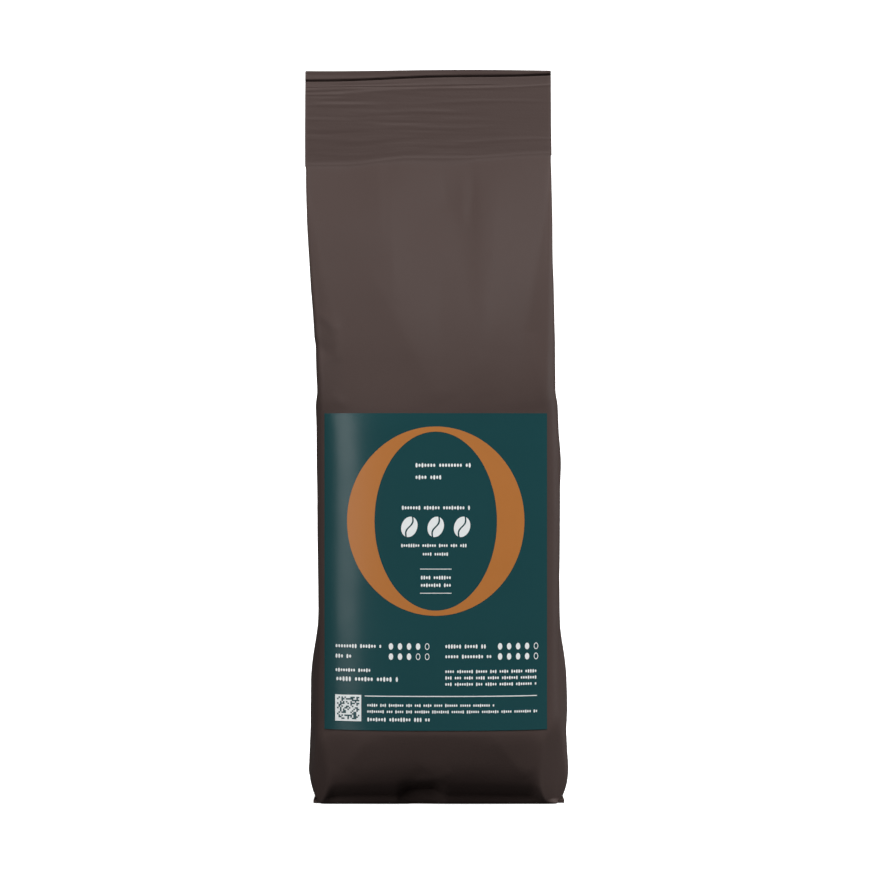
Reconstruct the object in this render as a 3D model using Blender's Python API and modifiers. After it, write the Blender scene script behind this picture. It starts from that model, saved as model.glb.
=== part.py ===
"""A filled side-gusset coffee bag with a stuck-on front label, standing on its base.

Metres, +Z up. The front faces -Y. The origin is the middle of the bag's outer box,
on the surface that the bag stands on.

The bag is one tube of film: a front and a back panel, joined by two side gussets that
fold inwards. Coffee opens the tube into a box up to the fill line. Above it the gussets
close again, until the flat seal band presses all the layers together. At the foot the
same tube was sealed flat, and that base fin lies folded under the bag.
"""

import math

import bmesh
import bpy

MM = 0.001

# The film tube, as it was cut and sealed flat
PANEL_WIDTH = 80 * MM
GUSSET_WIDTH = 50 * MM
FILM_STACK = 0.9 * MM

# The standing bag
BAG_HEIGHT = 237 * MM
SEAL_HEIGHT = 29.5 * MM
SEAL_BOTTOM = BAG_HEIGHT - SEAL_HEIGHT
FILL_HEIGHT = 126 * MM
FRONT_BELLY = 10 * MM
BACK_BELLY = 5 * MM
SIDE_BULGE = 2.6 * MM
BULGE_HEIGHTS = (38 * MM, 62 * MM)
PANEL_DIP = 2.2 * MM
TOP_LEAN = -3.5 * MM
SEAL_TILT = 5.5 * MM
BASE_CENTRE = 1.1 * MM
MIDDLE_PLANE = (FRONT_BELLY - BACK_BELLY) / 2

# The foot: the panels slope in below the label, and end in a small round
FOOT_HEIGHT = 24 * MM
FOOT_SLOPE_SHARE = 0.6
FOOT_ROUND = 7 * MM
BASE_INSET = 8.5 * MM
CORNER_INSET = 2.4 * MM
CORNER_ROUND = 12 * MM

# The base fin, as wide as the flat tube and folded forwards under the bag
FIN_DEPTH = 16 * MM
FIN_THICKNESS = 1.3 * MM
FIN_FRONT = -17.5 * MM

# The label, stuck on the front panel
LABEL_WIDTH = 70 * MM
LABEL_HEIGHT = 100 * MM
LABEL_BOTTOM = 24.9 * MM
LABEL_CENTRE = 0.1 * MM
LABEL_THICKNESS = 0.3 * MM
LABEL_GAP = 0.3 * MM

# The back seam, where the film's two edges were lapped and welded into a tube
SEAM_WIDTH = 10 * MM
SEAM_PROUD = 0.5 * MM
SEAM_SUNK = 0.4 * MM
SEAM_BOTTOM = 10 * MM
SEAM_TOP = BAG_HEIGHT - 1 * MM

# The two panels of the tube, by the side of the middle plane that they are on
FRONT, BACK = -1, 1
BELLIES = {FRONT: FRONT_BELLY, BACK: BACK_BELLY}

# Facets
PANEL_STEPS = 20
GUSSET_STEPS = 8
FOOT_RINGS = 9
FILLED_RINGS = 10
NECK_RINGS = 15
LABEL_STEPS = (20, 22)
SEAM_STEPS = (2, 40)

FILM_COLOUR = (0.063, 0.047, 0.043, 1.0)
LABEL_COLOUR = (0.011, 0.053, 0.062, 1.0)


def ease(low, high, value):
    """0 below low, 1 above high, and a smooth step between them."""
    t = min(1.0, max(0.0, (value - low) / (high - low)))
    return t * t * (3 - 2 * t)


def arch(height, reach):
    """A quarter circle's rise: 0 at height 0, and 1 from reach upwards."""
    t = min(1.0, max(0.0, height / reach))
    return math.sqrt(1 - (1 - t) ** 2)


def neck(z):
    """How far the tube has closed: 0 at the fill line, 1 at the seal band."""
    return min(1.0, max(0.0, (z - FILL_HEIGHT) / (SEAL_BOTTOM - FILL_HEIGHT)))


def lean(z):
    """The X of the section's middle. The empty top leans a little to one side."""
    return BASE_CENTRE + TOP_LEAN * ease(90 * MM, 220 * MM, z)


def middle(z):
    """The Y of the section's middle. The flat seal band tilts back a little."""
    return MIDDLE_PLANE + SEAL_TILT * max(0.0, z - SEAL_BOTTOM) / SEAL_HEIGHT


def foot(z):
    """How far the foot has opened: 0 at the base, and 1 from the foot's height upwards."""
    slope = max(0.0, 1 - z / FOOT_HEIGHT) ** 1.15
    round_end = 1 - arch(z, FOOT_ROUND)
    return 1 - FOOT_SLOPE_SHARE * slope - (1 - FOOT_SLOPE_SHARE) * round_end


def belly(side, z):
    """How far the middle of a panel stands out from the plane of its two creases."""
    return BELLIES[side] * foot(z) * (1 - neck(z) ** 1.5)


def crease_depth(z):
    """Half the distance between a front crease and the back crease behind it."""
    opened = 0.985 * GUSSET_WIDTH / 2 - BASE_INSET * (1 - foot(z))
    closed = FILM_STACK / 2
    return closed + (opened - closed) * (1 - neck(z) ** 1.7)


def half_width(side, z):
    """Half the distance between a panel's two creases. A bulging panel is narrower."""
    lost_to_bulge = belly(side, z) ** 2 / (0.75 * PANEL_WIDTH)
    lost_to_foot = CORNER_INSET * (1 - arch(z, CORNER_ROUND))
    return PANEL_WIDTH / 2 - lost_to_bulge - lost_to_foot


def panel_depth(side, u, z):
    """How far a panel stands from the middle plane. u is -1 and 1 at its creases."""
    shoulder = max(0.0, 1 - abs(u) ** 2.6) ** 0.75
    hollow = ease(0.2, 0.7, neck(z)) * (1 - neck(z)) * math.exp(-((u / 0.36) ** 2))
    return crease_depth(z) + belly(side, z) * shoulder - 3 * PANEL_DIP * hollow


def panel_point(side, u, z, proud=0.0):
    """A point on a panel, or that far in front of it."""
    depth = panel_depth(side, u, z) + proud
    return (lean(z) + half_width(side, z) * u, middle(z) + side * depth, z)


def gusset_inset(v, z):
    """How far a gusset lies inside its two creases. v is -1 and 1 at the creases."""
    if z >= SEAL_BOTTOM:
        return 0.0
    fold = math.sqrt((GUSSET_WIDTH / 2) ** 2 - crease_depth(z) ** 2)
    bulge = SIDE_BULGE * (1 - ease(*BULGE_HEIGHTS, z)) * arch(z, CORNER_ROUND)
    return fold * ease(0.02, 0.12, neck(z)) * (1 - abs(v)) - bulge * (1 - v * v)


def gusset_point(v, z, right):
    """A point on the right gusset (right is 1) or the left one (right is -1)."""
    to_back = (v + 1) / 2
    width = half_width(FRONT, z) * (1 - to_back) + half_width(BACK, z) * to_back
    reach = width - gusset_inset(v, z)
    return (lean(z) + right * reach, middle(z) + crease_depth(z) * v, z)


def section(z):
    """The bag's outline at height z, anticlockwise from above, from the front left."""
    across = [math.sin(math.pi * (n / PANEL_STEPS - 0.5)) for n in range(PANEL_STEPS)]
    along = [2 * n / GUSSET_STEPS - 1 for n in range(GUSSET_STEPS)]
    front = [panel_point(FRONT, u, z) for u in across]
    right = [gusset_point(v, z, 1) for v in along]
    back = [panel_point(BACK, -u, z) for u in across]
    left = [gusset_point(-v, z, -1) for v in along]
    return front + right + back + left


def ring_heights():
    """Close together in the foot and in the closing neck, and wide between."""
    lowest = [FOOT_HEIGHT * (n / FOOT_RINGS) ** 2 for n in range(FOOT_RINGS)]
    filled_step = (FILL_HEIGHT - FOOT_HEIGHT) / FILLED_RINGS
    filled = [FOOT_HEIGHT + filled_step * n for n in range(FILLED_RINGS)]
    neck_step = (SEAL_BOTTOM - FILL_HEIGHT) / NECK_RINGS
    closing = [FILL_HEIGHT + neck_step * n for n in range(NECK_RINGS)]
    return lowest + filled + closing + [SEAL_BOTTOM, BAG_HEIGHT]


def material(name, colour, roughness):
    made = bpy.data.materials.new(name)
    made.use_nodes = True
    shader = made.node_tree.nodes["Principled BSDF"]
    shader.inputs["Base Color"].default_value = colour
    shader.inputs["Roughness"].default_value = roughness
    shader.inputs["Metallic"].default_value = 0.0
    return made


def add_object(name, bm, collection, finish):
    """A named object from a bmesh, shaded smooth except over its creases."""
    mesh = bpy.data.meshes.new(name)
    bm.to_mesh(mesh)
    bm.free()
    mesh.shade_smooth()
    mesh.set_sharp_from_angle(angle=math.radians(35))
    mesh.materials.append(finish)
    made = bpy.data.objects.new(name, mesh)
    collection.objects.link(made)
    return made


def add_bag(collection, finish):
    """The filled film tube: a loft through its sections, flat at the foot and the top."""
    bm = bmesh.new()
    rings = [[bm.verts.new(point) for point in section(z)] for z in ring_heights()]
    for lower, upper in zip(rings, rings[1:]):
        for a in range(len(lower)):
            b = (a + 1) % len(lower)
            bm.faces.new((lower[a], lower[b], upper[b], upper[a]))
    bm.faces.new(reversed(rings[0]))
    bm.faces.new(rings[-1])
    return add_object("bag", bm, collection, finish)


def add_base_fin(collection, finish):
    """The flat foot seal. Its ends stick out past the rounded corners of the bag."""
    bm = bmesh.new()
    bmesh.ops.create_cube(bm, size=1)
    bmesh.ops.scale(bm, vec=(PANEL_WIDTH, FIN_DEPTH, FIN_THICKNESS), verts=bm.verts)
    centre = (BASE_CENTRE, MIDDLE_PLANE + FIN_FRONT + FIN_DEPTH / 2, FIN_THICKNESS / 2)
    bmesh.ops.translate(bm, vec=centre, verts=bm.verts)
    return add_object("base_fin", bm, collection, finish)


def join(target, addition):
    """Welds one closed shape into another. The addition stays as a hidden helper."""
    union = target.modifiers.new("weld " + addition.name, "BOOLEAN")
    union.operation = "UNION"
    union.object = addition
    addition.hide_render = True
    addition.display_type = "WIRE"


def add_sheet(name, side, outline, steps, proud, thickness, collection, finish):
    """A thin sheet on a panel. outline is (its middle at a height, width, bottom, top)."""
    centre, width, bottom, top = outline
    bm = bmesh.new()
    bmesh.ops.create_grid(bm, x_segments=steps[0], y_segments=steps[1], size=0.5)
    for vert in bm.verts:
        z = bottom + (top - bottom) * (vert.co.y + 0.5)
        x = centre(z) + width * vert.co.x
        vert.co = panel_point(side, (x - lean(z)) / half_width(side, z), z, proud)
    if side == BACK:
        bmesh.ops.reverse_faces(bm, faces=bm.faces)
    made = add_object(name, bm, collection, finish)
    sheet = made.modifiers.new("thickness", "SOLIDIFY")
    sheet.thickness = thickness
    sheet.offset = 1
    return made


def label_centre(z):
    """The label was stuck on upright, so it doesn't follow the lean of the top."""
    return LABEL_CENTRE


def add_label(collection, finish):
    """The label, a hair's breadth in front of the front panel."""
    outline = (label_centre, LABEL_WIDTH, LABEL_BOTTOM, LABEL_BOTTOM + LABEL_HEIGHT)
    add_sheet(
        "label", FRONT, outline, LABEL_STEPS, LABEL_GAP, LABEL_THICKNESS, collection, finish
    )


def add_back_seam(collection, finish):
    """The lapped strip down the middle of the back, sunk a little into the panel."""
    outline = (lean, SEAM_WIDTH, SEAM_BOTTOM, SEAM_TOP)
    thickness = SEAM_SUNK + SEAM_PROUD
    return add_sheet(
        "back_seam", BACK, outline, SEAM_STEPS, -SEAM_SUNK, thickness, collection, finish
    )


def main():
    for old in list(bpy.data.objects):
        bpy.data.objects.remove(old)
    parts = bpy.data.collections.new("coffee_bag")
    helpers = bpy.data.collections.new("helpers")
    for collection in (parts, helpers):
        bpy.context.scene.collection.children.link(collection)
    film = material("film", FILM_COLOUR, 0.5)
    paper = material("label", LABEL_COLOUR, 0.4)
    bag = add_bag(parts, film)
    join(bag, add_base_fin(helpers, film))
    join(bag, add_back_seam(helpers, film))
    add_label(parts, paper)


main()
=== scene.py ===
"""The looks of a filled side-gusset coffee bag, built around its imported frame."""

import math

import bpy
import numpy as np
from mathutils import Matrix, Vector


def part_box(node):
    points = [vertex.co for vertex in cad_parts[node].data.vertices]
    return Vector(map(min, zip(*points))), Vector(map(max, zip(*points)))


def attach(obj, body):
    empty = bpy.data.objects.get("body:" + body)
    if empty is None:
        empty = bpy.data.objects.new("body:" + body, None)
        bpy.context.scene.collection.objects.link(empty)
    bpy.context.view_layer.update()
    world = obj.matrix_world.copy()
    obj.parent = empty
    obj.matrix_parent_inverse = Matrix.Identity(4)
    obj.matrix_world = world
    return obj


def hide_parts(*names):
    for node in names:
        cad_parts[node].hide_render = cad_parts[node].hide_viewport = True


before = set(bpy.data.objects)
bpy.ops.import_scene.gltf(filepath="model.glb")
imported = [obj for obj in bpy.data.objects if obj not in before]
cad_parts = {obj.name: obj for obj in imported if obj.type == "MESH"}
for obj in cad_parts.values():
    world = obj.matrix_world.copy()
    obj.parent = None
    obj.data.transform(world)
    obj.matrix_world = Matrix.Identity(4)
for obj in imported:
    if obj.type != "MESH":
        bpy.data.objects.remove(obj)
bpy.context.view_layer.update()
bag_low, bag_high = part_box("bag")
label_low, label_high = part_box("label")

MM = 0.001
scene = bpy.context.scene


# ------------------------------------------------------------------ camera
# Level with the middle of the bag and square to its front, from far enough
# away that the sides hardly taper.
camera_distance = 1200 * MM
camera_height = 117.4 * MM
camera_data = bpy.data.cameras.new("camera")
camera_data.lens = 152.4
camera_data.sensor_width = 36
camera = bpy.data.objects.new("camera", camera_data)
camera.location = (0.5 * MM, 2.5 * MM - camera_distance, camera_height)
camera.rotation_euler = (math.radians(90), 0, 0)
scene.collection.objects.link(camera)
scene.camera = camera


# ------------------------------------------------------------------ film tube
# One tube of dark matt film, with a front and a back panel and a gusset in each
# side. Ground coffee opens it into a box up to the fill line. Above that the
# gussets fold inwards, until the heat seal presses all the layers flat.
panel_width = 80 * MM
gusset_width = 50 * MM
film_stack = 0.9 * MM
film_thickness = 0.16 * MM
bag_height = bag_high.z
seal_height = 29.5 * MM
seal_bottom = bag_height - seal_height
fill_height = 126 * MM
front_belly = 10 * MM
back_belly = 5 * MM
side_bulge = 2.6 * MM
top_lean = -3.5 * MM
seal_tilt = 5.5 * MM
base_centre = 1.1 * MM
middle_plane = (front_belly - back_belly) / 2
foot_height = 24 * MM
foot_slope_share = 0.6
foot_round = 7 * MM
base_inset = 8.5 * MM
corner_inset = 2.4 * MM
corner_round = 12 * MM
slot_depth = 2.4 * MM
valley_depth = 1.2 * MM
lip_height = 7 * MM
base_recess = 1.5 * MM
FRONT, BACK = -1, 1
bellies = {FRONT: front_belly, BACK: back_belly}

panel_columns = 104
gusset_columns = 36
corner_columns = 5


def ease(low, high, value):
    """0 below low, 1 above high, and a smooth step between them."""
    t = np.clip((value - low) / (high - low), 0, 1)
    return t * t * (3 - 2 * t)


def arch(height, reach):
    """A quarter circle's rise: 0 at height 0, and 1 from reach upwards."""
    t = np.clip(height / reach, 0, 1)
    return np.sqrt(1 - (1 - t) ** 2)


def lesser(a, b, rounding):
    """The lesser of two heights, rounded where they cross, as film bends."""
    near = np.maximum(rounding - np.abs(a - b), 0) / rounding
    return np.minimum(a, b) - near * near * rounding / 4


def neck(z):
    """How far the tube has closed: 0 at the fill line, 1 at the seal."""
    return np.clip((z - fill_height) / (seal_bottom - fill_height), 0, 1)


def lean(z):
    """The X of the section's middle."""
    return base_centre + top_lean * ease(90 * MM, 220 * MM, z)


def middle_y(z):
    """The Y of the section's middle. The flat seal band tilts back a little."""
    return middle_plane + seal_tilt * np.maximum(0, z - seal_bottom) / seal_height


def foot(z):
    """How far the foot has opened: 0 at the base, and 1 from the foot's height upwards."""
    slope = np.maximum(0, 1 - z / foot_height) ** 1.15
    return 1 - foot_slope_share * slope - (1 - foot_slope_share) * (1 - arch(z, foot_round))


def belly(side, z):
    """How far the middle of a panel stands out from its two creases."""
    return bellies[side] * foot(z) * (1 - neck(z) ** 1.5)


def crease_depth(z):
    """Half the distance between a front crease and the back crease behind it."""
    opened = 0.985 * gusset_width / 2 - base_inset * (1 - foot(z))
    closed = film_stack / 2
    return closed + (opened - closed) * (1 - neck(z) ** 1.7)


def half_width(side, z):
    """Half the distance between a panel's two creases."""
    lost_to_bulge = belly(side, z) ** 2 / (0.75 * panel_width)
    lost_to_foot = corner_inset * (1 - arch(z, corner_round))
    return panel_width / 2 - lost_to_bulge - lost_to_foot


def round_rise(side, u, z):
    """The filled panel's rise over its creases: one soft curve."""
    return belly(side, z) * np.maximum(0, 1 - np.abs(u) ** 2.6) ** 0.75


def faceted_rise(u, z):
    """The empty front panel's rise: a crowned middle with a bent strip down each side.

    The left side is one facet, with a narrow steep strip at the very edge. The right side
    has a wide shallow facet, a narrower steep one and the same kind of edge strip. Each
    bend starts at a corner of the seal and runs in as it comes down.
    """
    full = belly(FRONT, z)
    run_in = 0.04 + 0.96 * np.clip((203 * MM - z) / (57 * MM), 0, 1)
    from_left = (1 + u) * half_width(FRONT, z)
    from_right = (1 - u) * half_width(FRONT, z)
    crowned = full * (1 - 0.22 * (u - 0.4) ** 2 - 0.15 * ease(0.2, 0.95, -u))
    left_facet = full * (0.2 + 0.42 * from_left / (10 * MM * run_in))
    edge_strip = 1.15 * from_right
    strip_height = 0.26 * full
    shallow = strip_height + full * (0.24 + 0.47 * from_right / (23 * MM))
    steep_width = 10.5 * MM * run_in
    steep_height = full * (0.24 + 0.47 * steep_width / (23 * MM))
    steep = strip_height + steep_height * from_right / steep_width
    rise = lesser(crowned, left_facet, 0.3 * MM * run_in)
    rise = lesser(rise, shallow, 0.3 * MM)
    rise = lesser(rise, steep, 0.4 * MM * run_in)
    rise = lesser(rise, 1.7 * from_left, 0.3 * MM * run_in)
    return np.maximum(0, lesser(rise, edge_strip, 0.3 * MM * run_in))


def valley(side, x, z):
    """How far the empty panel is drawn in: a wide, shallow valley with flat sides.

    It is deepest a little below the seal. Its left edge runs in as it comes down.
    """
    left_edge = -20 * MM + 0.32 * (203 * MM - z)
    right_edge = 16 * MM + 0 * z
    bed = (left_edge + right_edge) / 2 + 7 * MM
    across = x * -side
    share = lesser((across - left_edge) / (bed - left_edge), (right_edge - across) / (right_edge - bed), 0.5)
    share = -lesser(-share, 0 * share, 0.22)
    falling = (neck(z) - 0.2) / 0.64
    rising = (1 - neck(z)) / 0.16
    drawn = np.maximum(0, lesser(falling, rising, 0.35))
    return valley_depth * drawn * np.minimum(share, 1)


def panel(side, u, z):
    """Points on a panel. u is -1 and 1 at its creases."""
    rise = round_rise(side, u, z)
    if side == FRONT:
        empty = ease(fill_height - 8 * MM, fill_height + 16 * MM, z)
        rise = rise * (1 - empty) + faceted_rise(u, z) * empty
    x = lean(z) + half_width(side, z) * u
    hollow = valley(side, x, z)
    layers = 0.25 * MM * ease(0.5, 0.9, neck(z)) * (ease(0.33, 0.41, np.abs(u)) - 1)
    layers = layers * (1 - ease(0.98, 1, neck(z)))
    depth = crease_depth(z) + rise - hollow + layers
    return np.stack(np.broadcast_arrays(x, middle_y(z) + side * depth, z), axis=-1)


def gusset(right, v, z):
    """Points on the right gusset (right is 1) or the left one (-1).

    v runs -1 to 1 from front to back.
    Filled, it bulges a little. Above, it folds in: a triangle stands over the fill line,
    and from the triangle's tip a single fold runs up the middle.
    """
    depth = crease_depth(z)
    triangle = 1 - ease(0.0, 0.34, neck(z))
    folded = (gusset_width / 2 - triangle * depth) ** 2 - ((1 - triangle) * depth) ** 2
    folded = np.sqrt(np.maximum(folded, 0)) * ease(0, 0.1, neck(z)) * (1 - ease(0.97, 1, neck(z)))
    across = (1 - np.sqrt(v * v + 0.0009)) / np.maximum(1 - triangle, 0.02)
    bulge = side_bulge * (1 - ease(38 * MM, 62 * MM, z)) * arch(z, corner_round)
    if right > 0:
        bulge = bulge + 1.2 * MM * np.exp(-(((z - 110 * MM) / (10 * MM)) ** 2))
    inset = folded * lesser(across, np.ones_like(across), 0.12) - bulge * (1 - v * v)
    back_share = (v + 1) / 2
    width = half_width(FRONT, z) * (1 - back_share) + half_width(BACK, z) * back_share
    x = lean(z) + right * (width - inset)
    return np.stack(np.broadcast_arrays(x, middle_y(z) + depth * v, z), axis=-1)


def corner(before, crease, after):
    """The small round of film over a crease, from one side's last point to the next side's first."""
    t = (np.arange(1, corner_columns + 1) / (corner_columns + 1))[None, :, None]
    return (1 - t) ** 2 * before[:, None] + 2 * t * (1 - t) * crease[:, None] + t * t * after[:, None]


def ring_heights():
    """Close together in the rounded foot and the crimped seal, wider between."""
    foot = 24 * MM * np.linspace(0, 1, 30, endpoint=False) ** 1.7
    filled = np.linspace(24 * MM, fill_height, 60, endpoint=False)
    closing = np.linspace(fill_height, seal_bottom, 88, endpoint=False)
    band = np.linspace(seal_bottom, bag_height, 98)
    return np.concatenate([foot, filled, closing, band])


z = ring_heights()[:, None]
radius = 1.7 * MM * (1 - ease(0.1, 1, neck(z))) + 0.3 * MM
u = np.linspace(-1, 1, panel_columns)[None, :]
v = np.linspace(-1, 1, gusset_columns)[None, :]
gusset_end = 1 - radius / crease_depth(z)
front = panel(FRONT, u * (1 - radius / half_width(FRONT, z)), z)
back = panel(BACK, -u * (1 - radius / half_width(BACK, z)), z)
right_gusset = gusset(1, v * gusset_end, z)
left_gusset = gusset(-1, -v * gusset_end, z)
end = np.ones((1, 1))
creases = [panel(side, at * end, z)[:, 0] for side, at in ((FRONT, 1), (BACK, 1), (BACK, -1), (FRONT, -1))]
film = np.concatenate(
    [
        front,
        corner(front[:, -1], creases[0], right_gusset[:, 0]),
        right_gusset,
        corner(right_gusset[:, -1], creases[1], back[:, 0]),
        back,
        corner(back[:, -1], creases[2], left_gusset[:, 0]),
        left_gusset,
        corner(left_gusset[:, -1], creases[3], front[:, 0]),
    ],
    axis=1,
)
ring_count, column_count = film.shape[:2]
back_start = panel_columns + 2 * corner_columns + gusset_columns
column = np.arange(column_count)
mirrored = (back_start + panel_columns - 1 - column) % column_count

# How much each column belongs to the front: 1 on the front panel, 0 on the back.
side_columns = gusset_columns + 2 * corner_columns
fall = np.linspace(1, 0, side_columns)
frontness = np.concatenate([np.ones(panel_columns), fall, np.zeros(panel_columns), fall[::-1]])[None, :]


def outward(points):
    """The unit normals of a grid of points that closes on itself along its columns."""
    along = np.roll(points, -1, axis=1) - np.roll(points, 1, axis=1)
    up = np.gradient(points, axis=0)
    normal = np.cross(along, up)
    return normal / np.maximum(np.linalg.norm(normal, axis=2, keepdims=True), 1e-12)


def waves(points, length, seed):
    """Smooth unevenness between about -1 and 1, with that wave length."""
    made = np.random.default_rng(seed)
    total = 0
    for _ in range(9):
        direction = made.normal(size=3)
        direction *= 2 * math.pi / length / np.linalg.norm(direction) * made.uniform(0.7, 1.4)
        total = total + np.sin(points @ direction + made.uniform(0, 2 * math.pi))
    return total / 4


def fold(x, z, start, stop, height, upper, lower):
    """A crease's height over the film, from start to stop as (x, z). It falls off over
    upper on its left-hand side and lower on its right-hand one, and fades at its ends."""
    run = np.subtract(stop, start)
    length = math.hypot(*run)
    along = ((x - start[0]) * run[0] + (z - start[1]) * run[1]) / length**2
    off = ((z - start[1]) * run[0] - (x - start[0]) * run[1]) / length
    reach = np.where(off > 0, upper, lower)
    crest = np.exp(-(np.sqrt(off**2 + (0.7 * MM) ** 2) - 0.7 * MM) / reach)
    t = np.clip(along, 0, 1)
    return height * crest * (4 * t * (1 - t)) ** 0.6


# The label keeps the film under it smooth.
x, z = film[..., 0], film[..., 2]
on_label = ease(label_low.x - 4 * MM, label_low.x + 1 * MM, x)
on_label = on_label * (1 - ease(label_high.x - 1 * MM, label_high.x + 4 * MM, x))
on_label = on_label * ease(label_low.z - 4 * MM, label_low.z, z)
on_label = on_label * (1 - ease(label_high.z, label_high.z + 4 * MM, z))
calm = 1 - 0.92 * on_label * frontness
in_band = ease(seal_bottom - 0.5 * MM, seal_bottom + 0.5 * MM, z)
below_band = 1 - in_band

# Creases on the front, in millimetres: from and to as (x, z), height, and how far
# each of its two sides reaches.
front_folds = [
    ((-37.5, 157), (-30.5, 151), 0.5, 2.4, 1.2),
    ((-31.5, 153), (-30.2, 141), 0.3, 1.2, 2.5),
    ((-39, 148), (-33, 143), -0.4, 1.8, 2.5),
    ((-32.5, 131), (-27.5, 126.5), 0.25, 1.0, 1.8),
    ((9.2, 207), (9.0, 184), 0.35, 2.2, 2.6),
    ((13.6, 206), (10.6, 186), -0.3, 1.8, 2.2),
    ((2, 207), (3.6, 190), -0.25, 2.2, 2.0),
    ((17, 176), (22, 175.2), 0.14, 0.8, 1.2),
    ((22, 173), (25.5, 171.6), 0.14, 0.8, 1.2),
    ((-22, 172), (2, 128), 0.5, 9, 8),
    ((2, 176), (1, 132), -0.35, 9, 8),
    ((20, 207), (16.5, 130), 0.35, 7, 3),
    ((-16, 207), (-13, 160), 0.35, 3, 7),
    ((30.5, 150), (34.5, 128), 0.35, 2.0, 2.5),
    ((-29, 12), (-20, 24), 0.35, 2.6, 3.4),
    ((-12, 3), (-3, 12), -0.4, 2.4, 3.4),
    ((5, 12), (-4, 3), 0.3, 2.0, 2.6),
    ((18, 23), (29, 9), 0.35, 3.4, 2.6),
    ((33, 26), (36, 8), 0.35, 1.8, 2.8),
    ((-36.0, 26), (-37.3, 6), 0.35, 1.8, 1.8),
]
dent = np.zeros_like(x)
for start, stop, height, upper, lower in front_folds:
    start, stop = np.multiply(start, MM), np.multiply(stop, MM)
    line = fold(x, z, start, stop, height * MM, upper * MM, lower * MM)
    dent = dent + line * frontness

# The back and the sides crumple in the same way, with their folds set out by chance.
chance = np.random.default_rng(11)
for _ in range(26):
    centre = np.array([chance.uniform(-36, 36), chance.uniform(130, 203)])
    turn = chance.uniform(0.9, 2.2)
    half = np.array([math.cos(turn), math.sin(turn)]) * chance.uniform(4, 16)
    height, upper, lower = chance.uniform(-0.4, 0.5), chance.uniform(1, 4), chance.uniform(1.2, 5)
    start, stop = (centre - half) * MM, (centre + half) * MM
    line = fold(x, z, start, stop, height * MM, upper * MM, lower * MM)
    dent = dent + line * (1 - frontness) ** 2
depth_back = film[..., 1] - middle_plane
on_gusset = np.clip(1 - np.abs(2 * frontness - 1), 0, 1) ** 0.5
for _ in range(30):
    centre = np.array([chance.uniform(-22, 22), chance.uniform(8, 185)])
    turn = chance.uniform(0.3, 2.6)
    half = np.array([math.cos(turn), math.sin(turn)]) * chance.uniform(3, 10)
    height, upper, lower = chance.uniform(-0.4, 0.35), chance.uniform(0.8, 2.5), chance.uniform(1, 3)
    keep_side = (np.sign(x) if chance.random() < 0.5 else -np.sign(x)) > 0
    start, stop = (centre - half) * MM, (centre + half) * MM
    line = fold(depth_back, z, start, stop, height * MM, upper * MM, lower * MM)
    dent = dent + line * on_gusset * keep_side

lumps = 0.26 * waves(film, 50 * MM, 3) + 0.08 * waves(film, 19 * MM, 4) + 0.012 * waves(film, 7 * MM, 5)
lumps = lumps * MM * ease(0, 6 * MM, z)
softened = 1 - 0.75 * ease(0.75, 1, neck(z))
relief = (dent * calm + lumps * (0.35 + 0.65 * calm)) * softened * below_band
film = film + outward(film) * relief[..., None]

# The foot is flattened where the coffee doesn't fill it. In millimetres: a point that
# the flat passes through, the way it faces, the stretch of x it covers, and its rounding.
foot_flats = [
    ((0, -21, 5), (0, -0.5, -0.87), -33, 31, 5.0),
    ((-4.5, -20.5, 7), (0, -0.3, -0.95), -9, 0, 1.0),
    ((-37.5, -16, 6), (-0.75, -0.6, -0.25), -60, -20, 0.8),
    ((38, -16, 8), (0.75, -0.6, -0.25), 20, 60, 0.8),
    ((-36, 19, 7), (-0.6, 0.45, -0.66), -60, -20, 0.8),
    ((36, 19, 7), (0.62, 0.44, -0.65), 20, 60, 0.8),
]
for through, facing, left, right, rounding in foot_flats:
    facing = np.array(facing) / np.linalg.norm(facing)
    over = (film - np.multiply(through, MM)) @ facing
    cut = over - lesser(over, np.zeros_like(over), rounding * MM)
    x, z = film[..., 0], film[..., 2]
    reach = ease((left - 4) * MM, (left + 1) * MM, x)
    reach = reach * (1 - ease((right - 1) * MM, (right + 4) * MM, x))
    film = film - facing * (0.9 * cut * reach * ease(0, 1.2 * MM, z))[..., None]

# The heat seal: wrinkles pressed into all the layers together, strongest at the left.
# In millimetres: height above the seal's foot at the left end, rise to the right,
# height, half width, and the stretch of x that it covers.
seal_wrinkles = [
    (23.9, 1.6, -0.26, 0.45, -46, 20),
    (22.2, 0.9, -0.28, 0.40, -46, -24),
    (21.4, 3.6, 0.18, 0.55, -46, 46),
    (20.9, 0.8, -0.20, 0.40, -46, -30),
    (18.6, 0.6, -0.14, 0.40, -38, -24),
    (17.7, 0.9, 0.14, 0.45, -46, -18),
    (18.2, 1.0, 0.10, 0.50, -6, 34),
    (15.4, 0.5, 0.12, 0.45, -14, 6),
    (14.2, 0.5, -0.10, 0.45, -26, -8),
    (12.9, 0.5, 0.14, 0.45, -46, -24),
    (12.0, 0.3, -0.12, 0.40, -20, -4),
    (10.4, 0.4, 0.09, 0.5, -8, 16),
    (9.1, 0.4, -0.10, 0.45, -44, -22),
    (7.0, 0.5, 0.08, 0.5, -30, -6),
    (5.2, 0.7, 0.07, 0.5, 8, 40),
]
x, z = film[..., 0], film[..., 2]
across = (x + 42.5 * MM) / panel_width
streaks = waves(film * (0.055, 1, 1), 2.2 * MM, 8) + 0.6 * waves(film * (0.07, 1, 1), 1.0 * MM, 9)
pressed = 0.034 * MM * streaks * (1 - 0.75 * ease(0.3, 1, across))
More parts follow.
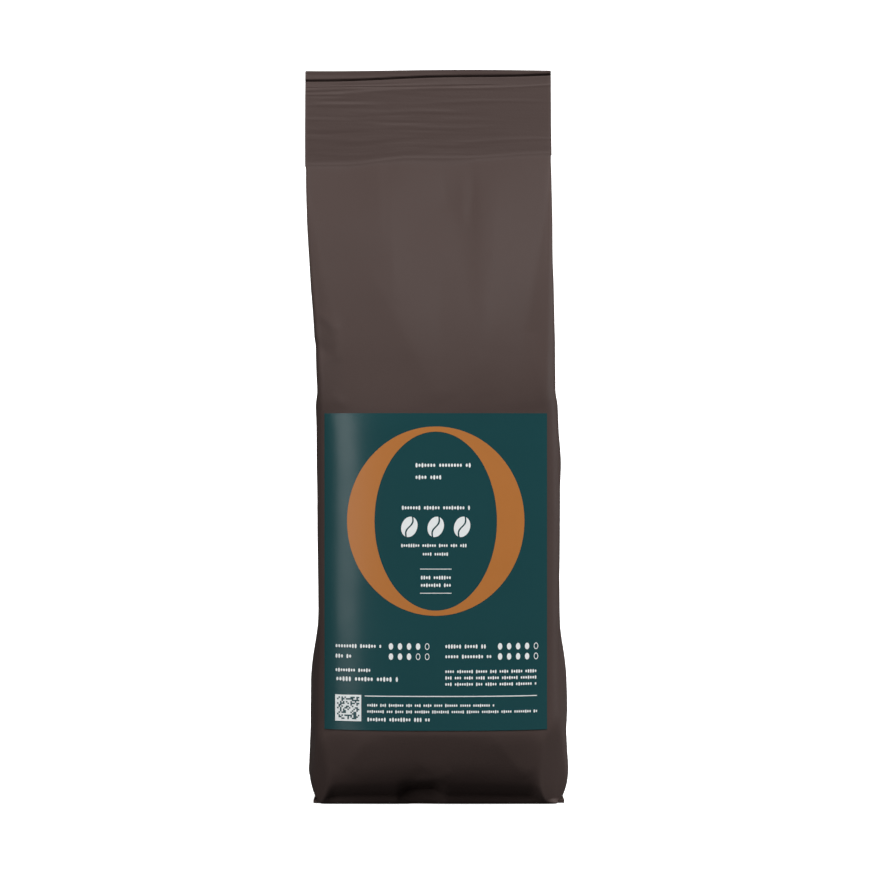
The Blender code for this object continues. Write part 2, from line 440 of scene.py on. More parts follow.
for level, rise, height, reach, left, right in seal_wrinkles:
    line = seal_bottom + (level + rise * across) * MM
    stretch = ease((left - 3) * MM, (left + 5) * MM, x)
    stretch = stretch * (1 - ease((right - 7) * MM, (right + 4) * MM, x))
    wobble = 0.3 * MM * np.sin(x * 110 + level)
    pressed = pressed + 0.6 * height * MM * stretch * np.exp(-(((z - line - wobble) / (reach * MM)) ** 2))
edge_lip = 0.14 * MM * np.exp(-(((z - seal_bottom - 0.4 * MM) / (0.6 * MM)) ** 2))
film[..., 1] -= pressed * ease(seal_bottom, seal_bottom + 1.2 * MM, z)
film[..., 1] -= edge_lip * (2 * frontness - 1)
film[..., 1] -= 0.5 * MM * ease(seal_bottom, bag_height, z) * np.sin(2.4 * across + 0.6) * in_band

# The seal's foot isn't level, and at the very top the front lip is lower than the
# back one, most of all at the left.
wave = (-2.3 + 2.2 * ease(0.16, 0.44, across) + 1.5 * ease(0.62, 1.0, across)) * MM
wave = wave * ease(seal_bottom - 26 * MM, seal_bottom, z)
film[..., 2] += wave * (1 - ease(seal_bottom + 1 * MM, seal_bottom + 12 * MM, z))


def lip_drop(across):
    """How far the front lip is below the back one. across runs 0 to 1 from left to right."""
    return (4.0 - 2.2 * across + 0.2 * np.sin(9 * across)) * MM


lip = ease(bag_height - lip_height, bag_height, film[..., 2])
film[..., 2] -= lip_drop(across) * frontness * lip
film[..., 2] -= 0.45 * MM * (1 - frontness) * lip * (0.5 + 0.5 * np.sin(5.5 * across + 1.0))
film[..., 1] -= 0.3 * MM * lip * (2 * frontness - 1)

# Inside the lips the wall goes back down to where the layers are sealed together.
top = film[-1]
level = 0 * top[:, 0]
toward_middle = np.stack([level, -np.sign(top[:, 1] - middle_y(bag_height)), level], axis=-1)
inner = top + toward_middle * film_thickness
inner[:, 0] -= np.sign(inner[:, 0] - lean(bag_height)) * film_thickness * on_gusset[0]
seam_floor = inner.copy()
seam_floor[:, 1] = 0.12 * inner[:, 1] + 0.88 * (inner[:, 1] + inner[mirrored, 1]) / 2
seam_floor[:, 2] = np.minimum(inner[:, 2], inner[mirrored, 2]) - slot_depth
slot = [inner * (1 - t) + seam_floor * t for t in np.linspace(0, 1, 14)]

# Under the foot the film turns in to a flat base, hollowed for the base fin.
rim = film[0]
base = []
for share in (0.94, 0.88, 0.8, 0.6, 0.4, 0.2, 0.03):
    ring = rim.copy()
    ring[:, 1] = middle_plane + (rim[:, 1] - middle_plane) * share
    ring[:, 0] = base_centre + (rim[:, 0] - base_centre) * (0.9 + 0.1 * share)
    ring[:, 2] = base_recess * ease(1, 0.8, share)
    base.append(ring)
grid = np.concatenate([np.stack(base[::-1]), film, np.stack(slot)])
first_outer, last_outer = len(base), len(base) + ring_count

# The back lip curls forwards over the front one, with a narrow dark gap between them.
front_edge = bag_height - lip_drop(across[-1])
curl = ease(0.2 * MM, 0.8 * MM, grid[..., 2] - front_edge) * (1 - frontness)
grid[..., 1] -= 1.1 * MM * curl
rows = len(grid)

faces = []
for row in range(rows - 1):
    for a in range(column_count):
        b = (a + 1) % column_count
        low, high = row * column_count, (row + 1) * column_count
        faces.append((low + a, low + b, high + b, high + a))


def closing_faces(row, upwards):
    """Closes a flattened ring: each front column is joined to the back one behind it."""
    made = []
    first = -(corner_columns + gusset_columns // 2)
    for step in range(panel_columns + side_columns - 1):
        a, b = (first + step) % column_count, (first + step + 1) % column_count
        corners = [a, b, mirrored[b], mirrored[a]]
        corners = list(dict.fromkeys(int(c) for c in corners))
        if len(corners) > 2:
            made.append(tuple(row * column_count + c for c in (corners if upwards else corners[::-1])))
    return made


faces += closing_faces(0, False)
faces += closing_faces(rows - 1, True)


def add_piece(name, points, faces):
    """A smooth-shaded mesh object from points and faces."""
    mesh = bpy.data.meshes.new(name)
    mesh.from_pydata([tuple(point) for point in points], [], faces)
    mesh.validate()
    mesh.shade_smooth()
    piece = bpy.data.objects.new(name, mesh)
    scene.collection.objects.link(piece)
    return piece


film_tube = add_piece("film_tube", grid.reshape(-1, 3), faces)

# Wear and painted highlight: 1 on the crest of a crease, where matt film rubs lighter and a highlight
# is painted in as a lighter colour, and 0 on flat film. It grows with the film's curvature, from one bend to
# the next in both directions.
def bending(before, points, after):
    """The curvature of a grid of points along one direction, where it bends outwards."""
    length = np.linalg.norm(after - before, axis=2) / 2
    sagging = np.einsum("ijk,ijk->ij", points - (before + after) / 2, outward(points))
    return 2 * sagging / np.maximum(length, 0.02 * MM) ** 2


below, above = np.concatenate([grid[:1], grid[:-1]]), np.concatenate([grid[1:], grid[-1:]])
bend = bending(np.roll(grid, 1, axis=1), grid, np.roll(grid, -1, axis=1)) + bending(below, grid, above)
wear = np.clip((bend * MM - 0.12) / 0.5, 0, 1)
for _ in range(2):
    wear = (2 * wear + np.roll(wear, 1, axis=1) + np.roll(wear, -1, axis=1)) / 4
    wear[1:-1] = (2 * wear[1:-1] + wear[:-2] + wear[2:]) / 4
wear[:first_outer + 2] = 0
wear[last_outer - 1:] = 0
worn_and_highlit = film_tube.data.attributes.new("wear", "FLOAT", "POINT")
worn_and_highlit.data.foreach_set("value", wear.astype(np.float32).ravel())


def linear(red, green, blue):
    """A colour given as sRGB values of 0 to 255, as the linear one that shaders take."""
    shares = [value / 255 for value in (red, green, blue)]
    return tuple(s / 12.92 if s <= 0.04045 else ((s + 0.055) / 1.055) ** 2.4 for s in shares) + (1.0,)


def new_material(name, colour, roughness):
    """A material with its nodes, its links and its shader."""
    made = bpy.data.materials.new(name)
    made.use_nodes = True
    shader = made.node_tree.nodes["Principled BSDF"]
    shader.inputs["Base Color"].default_value = colour
    shader.inputs["Roughness"].default_value = roughness
    return made, made.node_tree.nodes, made.node_tree.links, shader


def build_handling_group():
    """A shader group: the faint unevenness of anything matt that has been handled.

    Smudges is a broad mask from 0 to 1, and Grain a fine height for a bump.
    """
    group = bpy.data.node_groups.new("handling", "ShaderNodeTree")
    for name, default in (("Smudge Size", 25.0), ("Grain Size", 900.0)):
        socket = group.interface.new_socket(name, in_out="INPUT", socket_type="NodeSocketFloat")
        socket.default_value = default
    for name in ("Smudges", "Grain"):
        group.interface.new_socket(name, in_out="OUTPUT", socket_type="NodeSocketFloat")
    nodes, links = group.nodes, group.links
    given, result = nodes.new("NodeGroupInput"), nodes.new("NodeGroupOutput")
    place = nodes.new("ShaderNodeTexCoord")
    for size, detail, out in (("Smudge Size", 3.0, "Smudges"), ("Grain Size", 1.0, "Grain")):
        noise = nodes.new("ShaderNodeTexNoise")
        noise.inputs["Detail"].default_value = detail
        links.new(place.outputs["Object"], noise.inputs["Vector"])
        links.new(given.outputs[size], noise.inputs["Scale"])
        links.new(noise.outputs["Fac"], result.inputs[out])
    return group


handling = build_handling_group()


def handled(nodes, smudge_size, grain_size):
    """The handling group, placed in a material with its own sizes."""
    node = nodes.new("ShaderNodeGroup")
    node.node_tree = handling
    node.inputs["Smudge Size"].default_value = smudge_size
    node.inputs["Grain Size"].default_value = grain_size
    return node


def ranged(nodes, links, source, low, high, into):
    """Feeds a mask of 0 to 1 into a socket as a value from low to high."""
    node = nodes.new("ShaderNodeMapRange")
    node.inputs["To Min"].default_value = low
    node.inputs["To Max"].default_value = high
    links.new(source, node.inputs["Value"])
    links.new(node.outputs["Result"], into)


def bumped(nodes, links, height, distance, shader):
    """A bump of that depth into the shader's normal."""
    node = nodes.new("ShaderNodeBump")
    node.inputs["Strength"].default_value = 1.0
    node.inputs["Distance"].default_value = distance
    links.new(height, node.inputs["Height"])
    links.new(node.outputs["Normal"], shader.inputs["Normal"])


def film_material():
    """Dark brown matt laminate: softly uneven gloss, and creases made lighter, partly by rubbed wear and
    partly by a painted highlight.
    """
    made, nodes, links, shader = new_material("matt_film", linear(74, 62, 59), 0.48)
    shader.inputs["Specular IOR Level"].default_value = 0.045
    marks = handled(nodes, 28.0, 1400.0)
    ranged(nodes, links, marks.outputs["Smudges"], 0.40, 0.50, shader.inputs["Roughness"])
    shade = nodes.new("ShaderNodeMix")
    shade.data_type = "RGBA"
    shade.inputs["A"].default_value = linear(73, 61, 58)
    shade.inputs["B"].default_value = linear(75, 63, 60)
    links.new(marks.outputs["Smudges"], shade.inputs["Factor"])
    # The lighter colour on crease crests: partly rubbed wear, partly a painted highlight.
    rubbed_and_highlit = nodes.new("ShaderNodeMix")
    rubbed_and_highlit.data_type = "RGBA"
    rubbed_and_highlit.inputs["B"].default_value = linear(112, 100, 97)
    worn_and_highlit = nodes.new("ShaderNodeAttribute")
    worn_and_highlit.attribute_name = "wear"
    ranged(nodes, links, worn_and_highlit.outputs["Fac"], 0.0, 0.16, rubbed_and_highlit.inputs["Factor"])
    links.new(shade.outputs["Result"], rubbed_and_highlit.inputs["A"])
    links.new(rubbed_and_highlit.outputs["Result"], shader.inputs["Base Color"])
    bumped(nodes, links, marks.outputs["Grain"], 0.00002, shader)
    return made


matt_film = film_material()
film_tube.data.materials.append(matt_film)
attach(film_tube, "root")
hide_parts("bag")


# ------------------------------------------------------------------ laying flat things on
# What follows is cut or printed flat, and then lies on a curved surface. This tree
# presses a flat piece onto a target along one direction, and keeps its own relief.
def new_tree(name, inputs):
    """An empty Geometry Nodes tree with a Geometry input and output and the given inputs."""
    tree = bpy.data.node_groups.new(name, "GeometryNodeTree")
    tree.interface.new_socket("Geometry", in_out="INPUT", socket_type="NodeSocketGeometry")
    for label, kind in inputs:
        tree.interface.new_socket(label, in_out="INPUT", socket_type="NodeSocket" + kind)
    tree.interface.new_socket("Geometry", in_out="OUTPUT", socket_type="NodeSocketGeometry")
    return tree


def build_laying_tree():
    """Marks (when a Mark object is given) are set on the points, and all of it is laid on Target.

    Towards is the way the flat piece is pressed, Lift how far it stays off the target, and
    the points' own Y is kept as relief.
    """
    tree = new_tree(
        "laid_on",
        [
            ("Target", "Object"),
            ("Mark", "Object"),
            ("Marked", "Bool"),
            ("Towards", "Vector"),
            ("Lift", "Float"),
            ("Material", "Material"),
        ],
    )
    nodes, links = tree.nodes, tree.links
    given, result = nodes.new("NodeGroupInput"), nodes.new("NodeGroupOutput")

    mark = nodes.new("GeometryNodeObjectInfo")
    size = nodes.new("GeometryNodeInputNamedAttribute")
    size.data_type = "FLOAT_VECTOR"
    size.inputs["Name"].default_value = "size"
    stamped = nodes.new("GeometryNodeInstanceOnPoints")
    realised = nodes.new("GeometryNodeRealizeInstances")
    which = nodes.new("GeometryNodeSwitch")
    which.input_type = "GEOMETRY"
    links.new(given.outputs["Mark"], mark.inputs["Object"])
    links.new(given.outputs["Geometry"], stamped.inputs["Points"])
    links.new(mark.outputs["Geometry"], stamped.inputs["Instance"])
    links.new(size.outputs["Attribute"], stamped.inputs["Scale"])
    links.new(given.outputs["Marked"], which.inputs["Switch"])
    links.new(given.outputs["Geometry"], which.inputs["False"])
    links.new(stamped.outputs["Instances"], which.inputs["True"])
    links.new(which.outputs["Output"], realised.inputs["Geometry"])

    target = nodes.new("GeometryNodeObjectInfo")
    place = nodes.new("GeometryNodeInputPosition")
    split = nodes.new("ShaderNodeSeparateXYZ")
    flat = nodes.new("ShaderNodeCombineXYZ")
    back_off = nodes.new("ShaderNodeVectorMath")
    back_off.operation = "MULTIPLY_ADD"
    back_off.inputs[1].default_value = (-1, -1, -1)
    ray = nodes.new("GeometryNodeRaycast")
    ray.inputs["Ray Length"].default_value = 2.0
    links.new(given.outputs["Target"], target.inputs["Object"])
    links.new(place.outputs["Position"], split.inputs["Vector"])
    links.new(split.outputs["X"], flat.inputs["X"])
    links.new(split.outputs["Z"], flat.inputs["Z"])
    links.new(given.outputs["Towards"], back_off.inputs[0])
    links.new(flat.outputs["Vector"], back_off.inputs[2])
    links.new(target.outputs["Geometry"], ray.inputs["Target Geometry"])
    links.new(back_off.outputs["Vector"], ray.inputs["Source Position"])
    links.new(given.outputs["Towards"], ray.inputs["Ray Direction"])

    relief = nodes.new("ShaderNodeMath")
    relief.operation = "ADD"
    lifted = nodes.new("ShaderNodeVectorMath")
    lifted.operation = "SCALE"
    turned = nodes.new("ShaderNodeVectorMath")
    turned.operation = "SUBTRACT"
    placed = nodes.new("GeometryNodeSetPosition")
    finish = nodes.new("GeometryNodeSetMaterial")
    links.new(split.outputs["Y"], relief.inputs[0])
    links.new(given.outputs["Lift"], relief.inputs[1])
    links.new(given.outputs["Towards"], lifted.inputs[0])
    links.new(relief.outputs["Value"], lifted.inputs["Scale"])
    links.new(ray.outputs["Hit Position"], turned.inputs[0])
    links.new(lifted.outputs["Vector"], turned.inputs[1])
    links.new(realised.outputs["Geometry"], placed.inputs["Geometry"])
    links.new(turned.outputs["Vector"], placed.inputs["Position"])
    links.new(placed.outputs["Geometry"], finish.inputs["Geometry"])
    links.new(given.outputs["Material"], finish.inputs["Material"])
    links.new(finish.outputs["Geometry"], result.inputs["Geometry"])
    return tree


laying_tree = build_laying_tree()


def lay(piece, target, towards, lift, thickness, finish, mark=None):
    """Lays a flat piece on a target, gives it its thickness, and leaves a plain mesh."""
    modifier = piece.modifiers.new("laid on", "NODES")
    modifier.node_group = laying_tree
    given = {
        "Target": target,
        "Mark": mark,
        "Marked": mark is not None,
        "Towards": towards,
        "Lift": lift,
        "Material": finish,
    }
    for item in laying_tree.interface.items_tree:
        if item.in_out == "INPUT" and item.name in given and given[item.name] is not None:
            modifier[item.identifier] = given[item.name]
    if thickness:
        wall = piece.modifiers.new("thickness", "SOLIDIFY")
        wall.thickness = thickness
        wall.offset = 1
    bpy.context.view_layer.update()
    made = bpy.data.meshes.new_from_object(piece.evaluated_get(bpy.context.evaluated_depsgraph_get()))
    piece.modifiers.clear()
    piece.data = made
    made.name = piece.name
    made.shade_smooth()
    made.set_sharp_from_angle(angle=math.radians(50))
    return piece


def flat_grid(name, xs, zs):
    """A flat sheet in X and Z, facing -Y."""
    points = [(x, 0, z) for z in zs for x in xs]
    wide = len(xs)
    cells = [
        (row * wide + n, row * wide + n + 1, (row + 1) * wide + n + 1, (row + 1) * wide + n)
        for row in range(len(zs) - 1)
        for n in range(wide - 1)
    ]
    return add_piece(name, points, cells)


ONTO_FRONT, ONTO_BACK = (0, 1, 0), (0, -1, 0)


# ------------------------------------------------------------------ back seam
# The film's two edges lap down the middle of the back and are welded into the tube.
# The weld is a narrow band of small ribs, and one raw edge stays free.
seam_width = 10 * MM
seam_rib = 1.5 * MM


def seam_relief(x, z):
    """Ribs across the welded band, flat along both raw edges."""
    welded = ease(-4 * MM, -3 * MM, x - lean(z)) * (1 - ease(2 * MM, 3 * MM, x - lean(z)))
    return 0.07 * MM * welded * math.sin(2 * math.pi * z / seam_rib)


seam_zs = np.linspace(9 * MM, bag_height - 4 * MM, 700)
seam_xs = np.linspace(seam_width / 2, -seam_width / 2, 26)
back_seam = flat_grid("back_seam", seam_xs, seam_zs)
for vert in back_seam.data.vertices:
    vert.co.x += float(lean(vert.co.z))
    vert.co.y = seam_relief(vert.co.x, vert.co.z)
lay(back_seam, film_tube, ONTO_BACK, 0.03 * MM, 0.2 * MM, matt_film)
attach(back_seam, "root")
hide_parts("bag")


# ------------------------------------------------------------------ base fin
# At the foot the same tube is sealed flat, as wide as the panels. That fin lies
# folded forwards under the bag, and its two ends stick out past the round corners.
fin_front = middle_plane - 14.5 * MM
fin_depth = 16 * MM
fin_thickness = 1.0 * MM
fin_columns, fin_rows = 90, 20


def fin_point(share, back, up):
    """A point of the fin. share runs -1 to 1 across it, back 0 to 1 from its free edge."""
    ragged = 0.35 * MM * math.sin(9 * share + 1) + 0.25 * MM * math.sin(23 * share)
    y = fin_front + ragged * (1 - back) + fin_depth * back
    rib = 0.06 * MM * math.sin(2 * math.pi * fin_depth * back / (1.6 * MM))
    curl = 0.35 * MM * (1 - back) ** 3 * (1 + math.sin(4 * share + 2)) / 2
    z = up * (fin_thickness + rib) + curl + 0.08 * MM
    return (base_centre + share * (panel_width / 2 + 0.2 * MM), y, z)


shares = [2 * n / (fin_columns - 1) - 1 for n in range(fin_columns)]
backs = [n / (fin_rows - 1) for n in range(fin_rows)]
fin_points = [fin_point(share, back, up) for up in (0, 1) for back in backs for share in shares]
layer = fin_columns * fin_rows
fin_faces = []
for row in range(fin_rows - 1):
    for n in range(fin_columns - 1):
        a, b = row * fin_columns + n, row * fin_columns + n + 1
        c, d = b + fin_columns, a + fin_columns
        fin_faces.append((d, c, b, a))
        fin_faces.append((a + layer, b + layer, c + layer, d + layer))
outline = list(range(fin_columns))
outline += [row * fin_columns + fin_columns - 1 for row in range(1, fin_rows)]
outline += [layer - 1 - n for n in range(1, fin_columns)]
outline += [row * fin_columns for row in range(fin_rows - 2, 0, -1)]
for a, b in zip(outline, outline[1:] + outline[:1]):
    fin_faces.append((a, b, b + layer, a + layer))
base_fin = add_piece("base_fin", fin_points, fin_faces)
base_fin.data.set_sharp_from_angle(angle=math.radians(50))
base_fin.data.materials.append(matt_film)
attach(base_fin, "root")
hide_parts("bag")


# ------------------------------------------------------------------ label
# A stock 70 by 100 mm label of satin paper, teal all over, stuck upright on the front.
# It is stiffer than the film, so it bridges the film's small creases.
label_gap = 0.05 * MM
label_thickness = 0.2 * MM


def label_material():
    """Printed satin paper: a fine tooth, and ink that is very slightly uneven."""
    made, nodes, links, shader = new_material("teal_label", linear(26, 67, 71), 0.25)
    shader.inputs["Specular IOR Level"].default_value = 0.34
    marks = handled(nodes, 34.0, 2600.0)
    ranged(nodes, links, marks.outputs["Smudges"], 0.22, 0.28, shader.inputs["Roughness"])
    shade = nodes.new("ShaderNodeMix")
    shade.data_type = "RGBA"
    shade.inputs["A"].default_value = linear(25, 65, 69)
    shade.inputs["B"].default_value = linear(27, 69, 73)
    links.new(marks.outputs["Smudges"], shade.inputs["Factor"])
    links.new(shade.outputs["Result"], shader.inputs["Base Color"])
    bumped(nodes, links, marks.outputs["Grain"], 0.00001, shader)
    return made


label_middle = (label_low.x + label_high.x) / 2
label_foot = label_low.z
label_xs = np.linspace(label_low.x, label_high.x, 141)
label_zs = np.linspace(label_low.z, label_high.z, 201)
front_label = flat_grid("front_label", label_xs, label_zs)
lay(front_label, film_tube, ONTO_FRONT, label_gap, label_thickness, label_material())
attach(front_label, "root")
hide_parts("label")


# ------------------------------------------------------------------ printed ring
# The label's one large figure: a plain upright ring in orange ink, broad at its
# sides and thin at the top and bottom.
ink_thickness = 0.03 * MM
ink_lift = 0.02 * MM


def ink_material(name, colour, roughness):
    """Printing ink, with the paper's tooth showing through it."""
    made, nodes, links, shader = new_material(name, colour, roughness)
    marks = handled(nodes, 60.0, 2600.0)
    smudges = marks.outputs["Smudges"]
    ranged(nodes, links, smudges, roughness - 0.05, roughness + 0.05, shader.inputs["Roughness"])
    bumped(nodes, links, marks.outputs["Grain"], 0.00001, shader)
    return made


def ring_piece(name, outer, inner, turns, bands):
    """A flat ring between two ellipses, each given as (half width, half height)."""
    points = []
    for band in range(bands + 1):
        share = band / bands
        wide = inner[0] * (1 - share) + outer[0] * share
        tall = inner[1] * (1 - share) + outer[1] * share
        for turn in range(turns):
            angle = 2 * math.pi * turn / turns
            points.append((wide * math.cos(angle), 0, tall * math.sin(angle)))
    cells = [
        (b * turns + t, (b + 1) * turns + t, (b + 1) * turns + (t + 1) % turns, b * turns + (t + 1) % turns)
        for b in range(bands)
        for t in range(turns)
    ]
    return add_piece(name, points, cells)


orange_ink = ink_material("orange_ink", linear(178, 111, 50), 0.42)
ring_middle_height = 66 * MM
orange_ring = ring_piece("orange_ring", (28 * MM, 29.8 * MM), (19.3 * MM, 28.2 * MM), 240, 12)
for vert in orange_ring.data.vertices:
    vert.co.x += label_middle
    vert.co.z += label_foot + ring_middle_height
lay(orange_ring, front_label, ONTO_FRONT, ink_lift, ink_thickness, orange_ink)
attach(orange_ring, "root")


# ------------------------------------------------------------------ printed rows
# White print. Where a pack has wording this one has plain rows of small dots, in
# groups as long as words, so nothing on it can be read.
white_ink = ink_material("white_ink", linear(232, 236, 236), 0.45)


def dot_piece(name, sides):
    """One flat dot, 1 m across, as a fan that rows of dots are stamped from."""
    turns = [2 * math.pi * n / sides for n in range(sides)]
    points = [(0, 0, 0)] + [(math.cos(turn) / 2, 0, math.sin(turn) / 2) for turn in turns]
    return add_piece(name, points, [(0, n + 1, (n + 1) % sides + 1) for n in range(sides)])


def stamped(name, marks, shape, target, finish):
    """One piece from a list of marks, each (x, height on the label, width, height), in millimetres."""
    mesh = bpy.data.meshes.new(name)
    points = [(label_middle + x * MM, 0, label_foot + z * MM) for x, z, wide, tall in marks]
    mesh.from_pydata(points, [], [])
    sizes = mesh.attributes.new("size", "FLOAT_VECTOR", "POINT")
    sizes.data.foreach_set("vector", [s * MM for x, z, wide, tall in marks for s in (wide, 1000, tall)])
    piece = bpy.data.objects.new(name, mesh)
    scene.collection.objects.link(piece)
    lay(piece, target, ONTO_FRONT, ink_lift, ink_thickness, finish, mark=shape)
    bpy.data.objects.remove(shape)
    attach(piece, "root")
    return piece


# Each row, in millimetres: left and right end, height on the label, and dot height.
rows_of_print = [
    (-6.5, 11, 83.6, 1.5),
    (-6.5, 2, 79.8, 1.5),
    (-10.8, 10.6, 70.2, 1.4),
    (-11, 9.8, 58.3, 1.2),
    (-4.2, 4.4, 55.6, 1.2),
    (-4.8, 5.0, 48.2, 1.3),
    (-4.8, 5.0, 45.8, 1.3),
    (-31.8, -17, 26.5, 1.4),
    (-31.8, -26.4, 23.3, 1.4),
    (2.9, 15.6, 26.5, 1.4),
    (2.9, 17.8, 23.3, 1.4),
    (-31.8, -20.8, 18.9, 1.3),
    (-31.6, -11.3, 16.1, 1.6),
    (2.9, 32, 18.6, 1.2),
    (2.9, 32, 16.6, 1.2),
    (2.9, 31.6, 14.6, 1.2),
    (-21.7, 18.7, 7.9, 1.1),
    (-21.7, 32, 5.9, 1.1),
    (-21.7, -1.8, 3.4, 1.4),
]
spacing = np.random.default_rng(5)
word_dots = []
for left, right, level, tall in rows_of_print:
    pitch = 0.62 * tall
    at = left + pitch / 2
    until_gap = int(spacing.integers(3, 9))
    while at < right:
        word_dots.append((at, level, 0.72 * pitch, tall * spacing.choice([0.72, 0.72, 1.0])))
        until_gap -= 1
        at += pitch
        if until_gap == 0:
            at += pitch
            until_gap = int(spacing.integers(3, 9))
stamped("word_rows", word_dots, dot_piece("dot", 10), front_label, white_ink)

# The two taste scales: five marks in a row, some filled and the rest outlined.
scale_pitch = 2.85
filled, outlined = [], []
for left, level, full in ((-14.1, 26.5, 4), (-14.1, 23.3, 3), (20.3, 26.5, 4), (20.3, 23.3, 4)):
    for n in range(5):
        (filled if n < full else outlined).append((left + n * scale_pitch, level, 1.4, 2.1))
stamped("scale_filled", filled, dot_piece("dot", 20), front_label, white_ink)
outline_shape = ring_piece("outline", (0.5, 0.5), (0.36, 0.38), 24, 1)
stamped("scale_outlined", outlined, outline_shape, front_label, white_ink)


def bar(name, left, right, level, tall):
    """A thin printed rule, in millimetres on the label."""
    xs = np.linspace(left, right, max(2, int((right - left) / 0.7))) * MM + label_middle
    zs = np.array([level - tall / 2, level + tall / 2]) * MM + label_foot
    piece = flat_grid(name, xs, zs)
    lay(piece, front_label, ONTO_FRONT, ink_lift, ink_thickness, white_ink)
    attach(piece, "root")


bar("long_rule", -22.4, 32, 10.8, 0.28)
bar("block_rule_top", -4.9, 5.0, 50.9, 0.22)
bar("block_rule_foot", -4.9, 5.0, 43.3, 0.22)


# ------------------------------------------------------------------ printed beans
# In the place of a name: three plain coffee beans side by side, each an oval with
# the bean's curved slit left open.
def bean_points(centre, level, half_wide, half_tall, tilt):
    """The two halves of one bean, as two grids of points."""
    steps, across = 24, 6
    halves = []
    for side in (-1, 1):
        half = []
        for n in range(steps + 1):
            t = -0.985 + 1.97 * n / steps
            edge = half_wide * math.sqrt(1 - t * t)
            slit = 0.22 * half_wide * math.sin(math.pi * t)
            near = min(edge, max(-edge, slit + side * 0.1 * half_wide))
            for k in range(across + 1):
                x = near + (side * edge - near) * k / across
                z = half_tall * t
                half.append((
                    centre + x * math.cos(tilt) - z * math.sin(tilt),
                    level + x * math.sin(tilt) + z * math.cos(tilt),
                ))
        halves.append((side, half, steps, across))
    return halves


bean_verts, bean_faces = [], []
for centre in (-8.3, 0, 8.3):
    for side, half, steps, across in bean_points(centre, 64.2, 2.5, 3.3, math.radians(-18)):
        first = len(bean_verts)
        bean_verts += [(label_middle + x * MM, 0, label_foot + z * MM) for x, z in half]
        wide = across + 1
        for n in range(steps):
            for k in range(across):
                a = first + n * wide + k
                cell = (a, a + 1, a + 1 + wide, a + wide)
                bean_faces.append(cell if side > 0 else cell[::-1])
printed_beans = add_piece("printed_beans", bean_verts, bean_faces)
lay(printed_beans, front_label, ONTO_FRONT, ink_lift, ink_thickness, white_ink)
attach(printed_beans, "root")


# ------------------------------------------------------------------ printed square
# A white square with a scatter of small dark squares. They are set out by chance
# and stand for nothing.
square_left, square_foot, square_side = -31.8, 2.8, 8.3
square_cells = 15
square_xs = (np.linspace(0, square_side, 16) + square_left) * MM + label_middle
square_zs = (np.linspace(0, square_side, 4) + square_foot) * MM + label_foot
white_square = flat_grid("white_square", square_xs, square_zs)
lay(white_square, front_label, ONTO_FRONT, ink_lift, ink_thickness, white_ink)
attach(white_square, "root")
teal_ink = ink_material("teal_ink", linear(38, 74, 78), 0.42)
cell = (square_side - 1.2) / square_cells
scatter = np.random.default_rng(21)
squares = [
    (square_left + 0.6 + (a + 0.5) * cell, square_foot + 0.6 + (b + 0.5) * cell, cell, cell)
    for a in range(square_cells)
    for b in range(square_cells)
    if scatter.random() < 0.42
]
square_corners = [(-0.5, 0, -0.5), (0.5, 0, -0.5), (0.5, 0, 0.5), (-0.5, 0, 0.5)]
square_shape = add_piece("cell", square_corners, [(0, 1, 2, 3)])
stamped("square_cells", squares, square_shape, white_square, teal_ink)


# ------------------------------------------------------------------ floor and light
# A plain pale floor that runs up into a wall, and soft white studio lamps: a broad one
# high in front, a tall strip at the left, a strip behind at the right, and one behind
# the bag that only its back and sides see.
floor_points, floor_faces = [], []
floor_half, floor_near, floor_far, cove = 3.0, -2.2, 1.6, 0.8
profile = [(floor_near, 0.0), (floor_far - cove, 0.0)]
profile += [
    (floor_far - cove + cove * math.sin(a), cove * (1 - math.cos(a)))
    for a in [math.pi / 2 * n / 16 for n in range(1, 17)]
]
profile += [(floor_far, 3.0)]
for y, z in profile:
    floor_points += [(-floor_half, y, z), (floor_half, y, z)]
for n in range(len(profile) - 1):
    floor_faces.append((2 * n, 2 * n + 1, 2 * n + 3, 2 * n + 2))
floor = add_piece("floor", floor_points, floor_faces)
pale, pale_nodes, pale_links, pale_shader = new_material("pale_floor", (0.86, 0.86, 0.86, 1), 0.9)
pale_shader.inputs["Specular IOR Level"].default_value = 0.1
pale_shader.inputs["Emission Color"].default_value = (1, 1, 1, 1)
pale_shader.inputs["Emission Strength"].default_value = 0.9
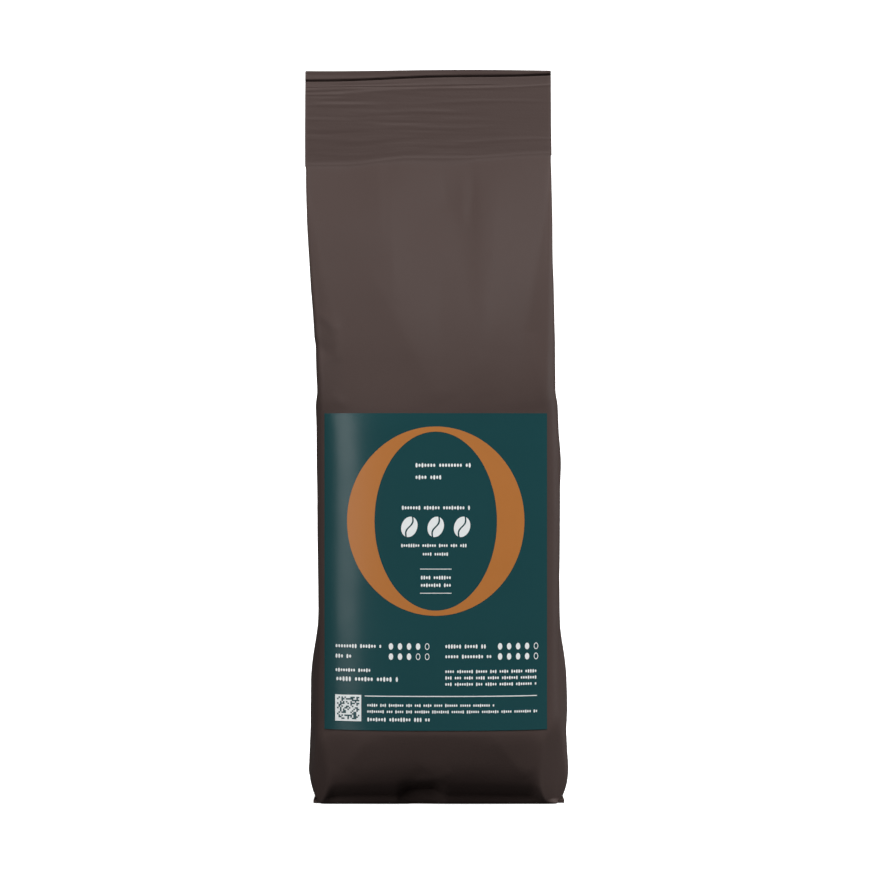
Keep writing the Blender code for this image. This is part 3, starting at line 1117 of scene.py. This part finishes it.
dim = pale_nodes.new("ShaderNodeBsdfDiffuse")
dim.inputs["Color"].default_value = (0.08, 0.08, 0.08, 1)
seen = pale_nodes.new("ShaderNodeLightPath")
either = pale_nodes.new("ShaderNodeMixShader")
pale_links.new(seen.outputs["Is Camera Ray"], either.inputs["Fac"])
pale_links.new(dim.outputs["BSDF"], either.inputs[1])
pale_links.new(pale_shader.outputs["BSDF"], either.inputs[2])
pale_links.new(either.outputs["Shader"], pale_nodes["Material Output"].inputs["Surface"])
floor.data.materials.append(pale)


def lamp(name, place, aim, size, power):
    """A white softbox at a place, turned to a point."""
    data = bpy.data.lights.new(name, "AREA")
    data.shape = "RECTANGLE"
    data.size, data.size_y = size
    data.energy = power
    made = bpy.data.objects.new(name, data)
    made.location = place
    toward = np.subtract(aim, place)
    made.rotation_euler = (
        math.atan2(math.hypot(toward[0], toward[1]), -toward[2]),
        0,
        math.atan2(toward[1], toward[0]) - math.pi / 2,
    )
    made.visible_camera = False
    scene.collection.objects.link(made)


bag_middle = (0, 0, bag_height / 2)
lamp("front_softbox", (0.38, -1.17, 1.57), bag_middle, (1.1, 1.0), 39)
lamp("left_softbox", (-0.8, -0.86, 0.5), bag_middle, (0.42, 1.4), 7.2)
lamp("right_back_strip", (1.0, 0.15, 0.25), bag_middle, (0.4, 1.0), 8)
lamp("back_softbox", (0.3, 0.75, 1.1), bag_middle, (0.7, 0.7), 11)

world = bpy.data.worlds.new("studio")
scene.world = world
world.use_nodes = True
world_nodes, world_links = world.node_tree.nodes, world.node_tree.links
world_nodes["Background"].inputs["Color"].default_value = (1, 1, 1, 1)
in_view = world_nodes.new("ShaderNodeLightPath")
world_strength = world_nodes.new("ShaderNodeMapRange")
world_strength.inputs["To Min"].default_value = 0.03
world_strength.inputs["To Max"].default_value = 1.0
world_links.new(in_view.outputs["Is Camera Ray"], world_strength.inputs["Value"])
world_links.new(world_strength.outputs["Result"], world_nodes["Background"].inputs["Strength"])
scene.view_settings.view_transform = "Standard"
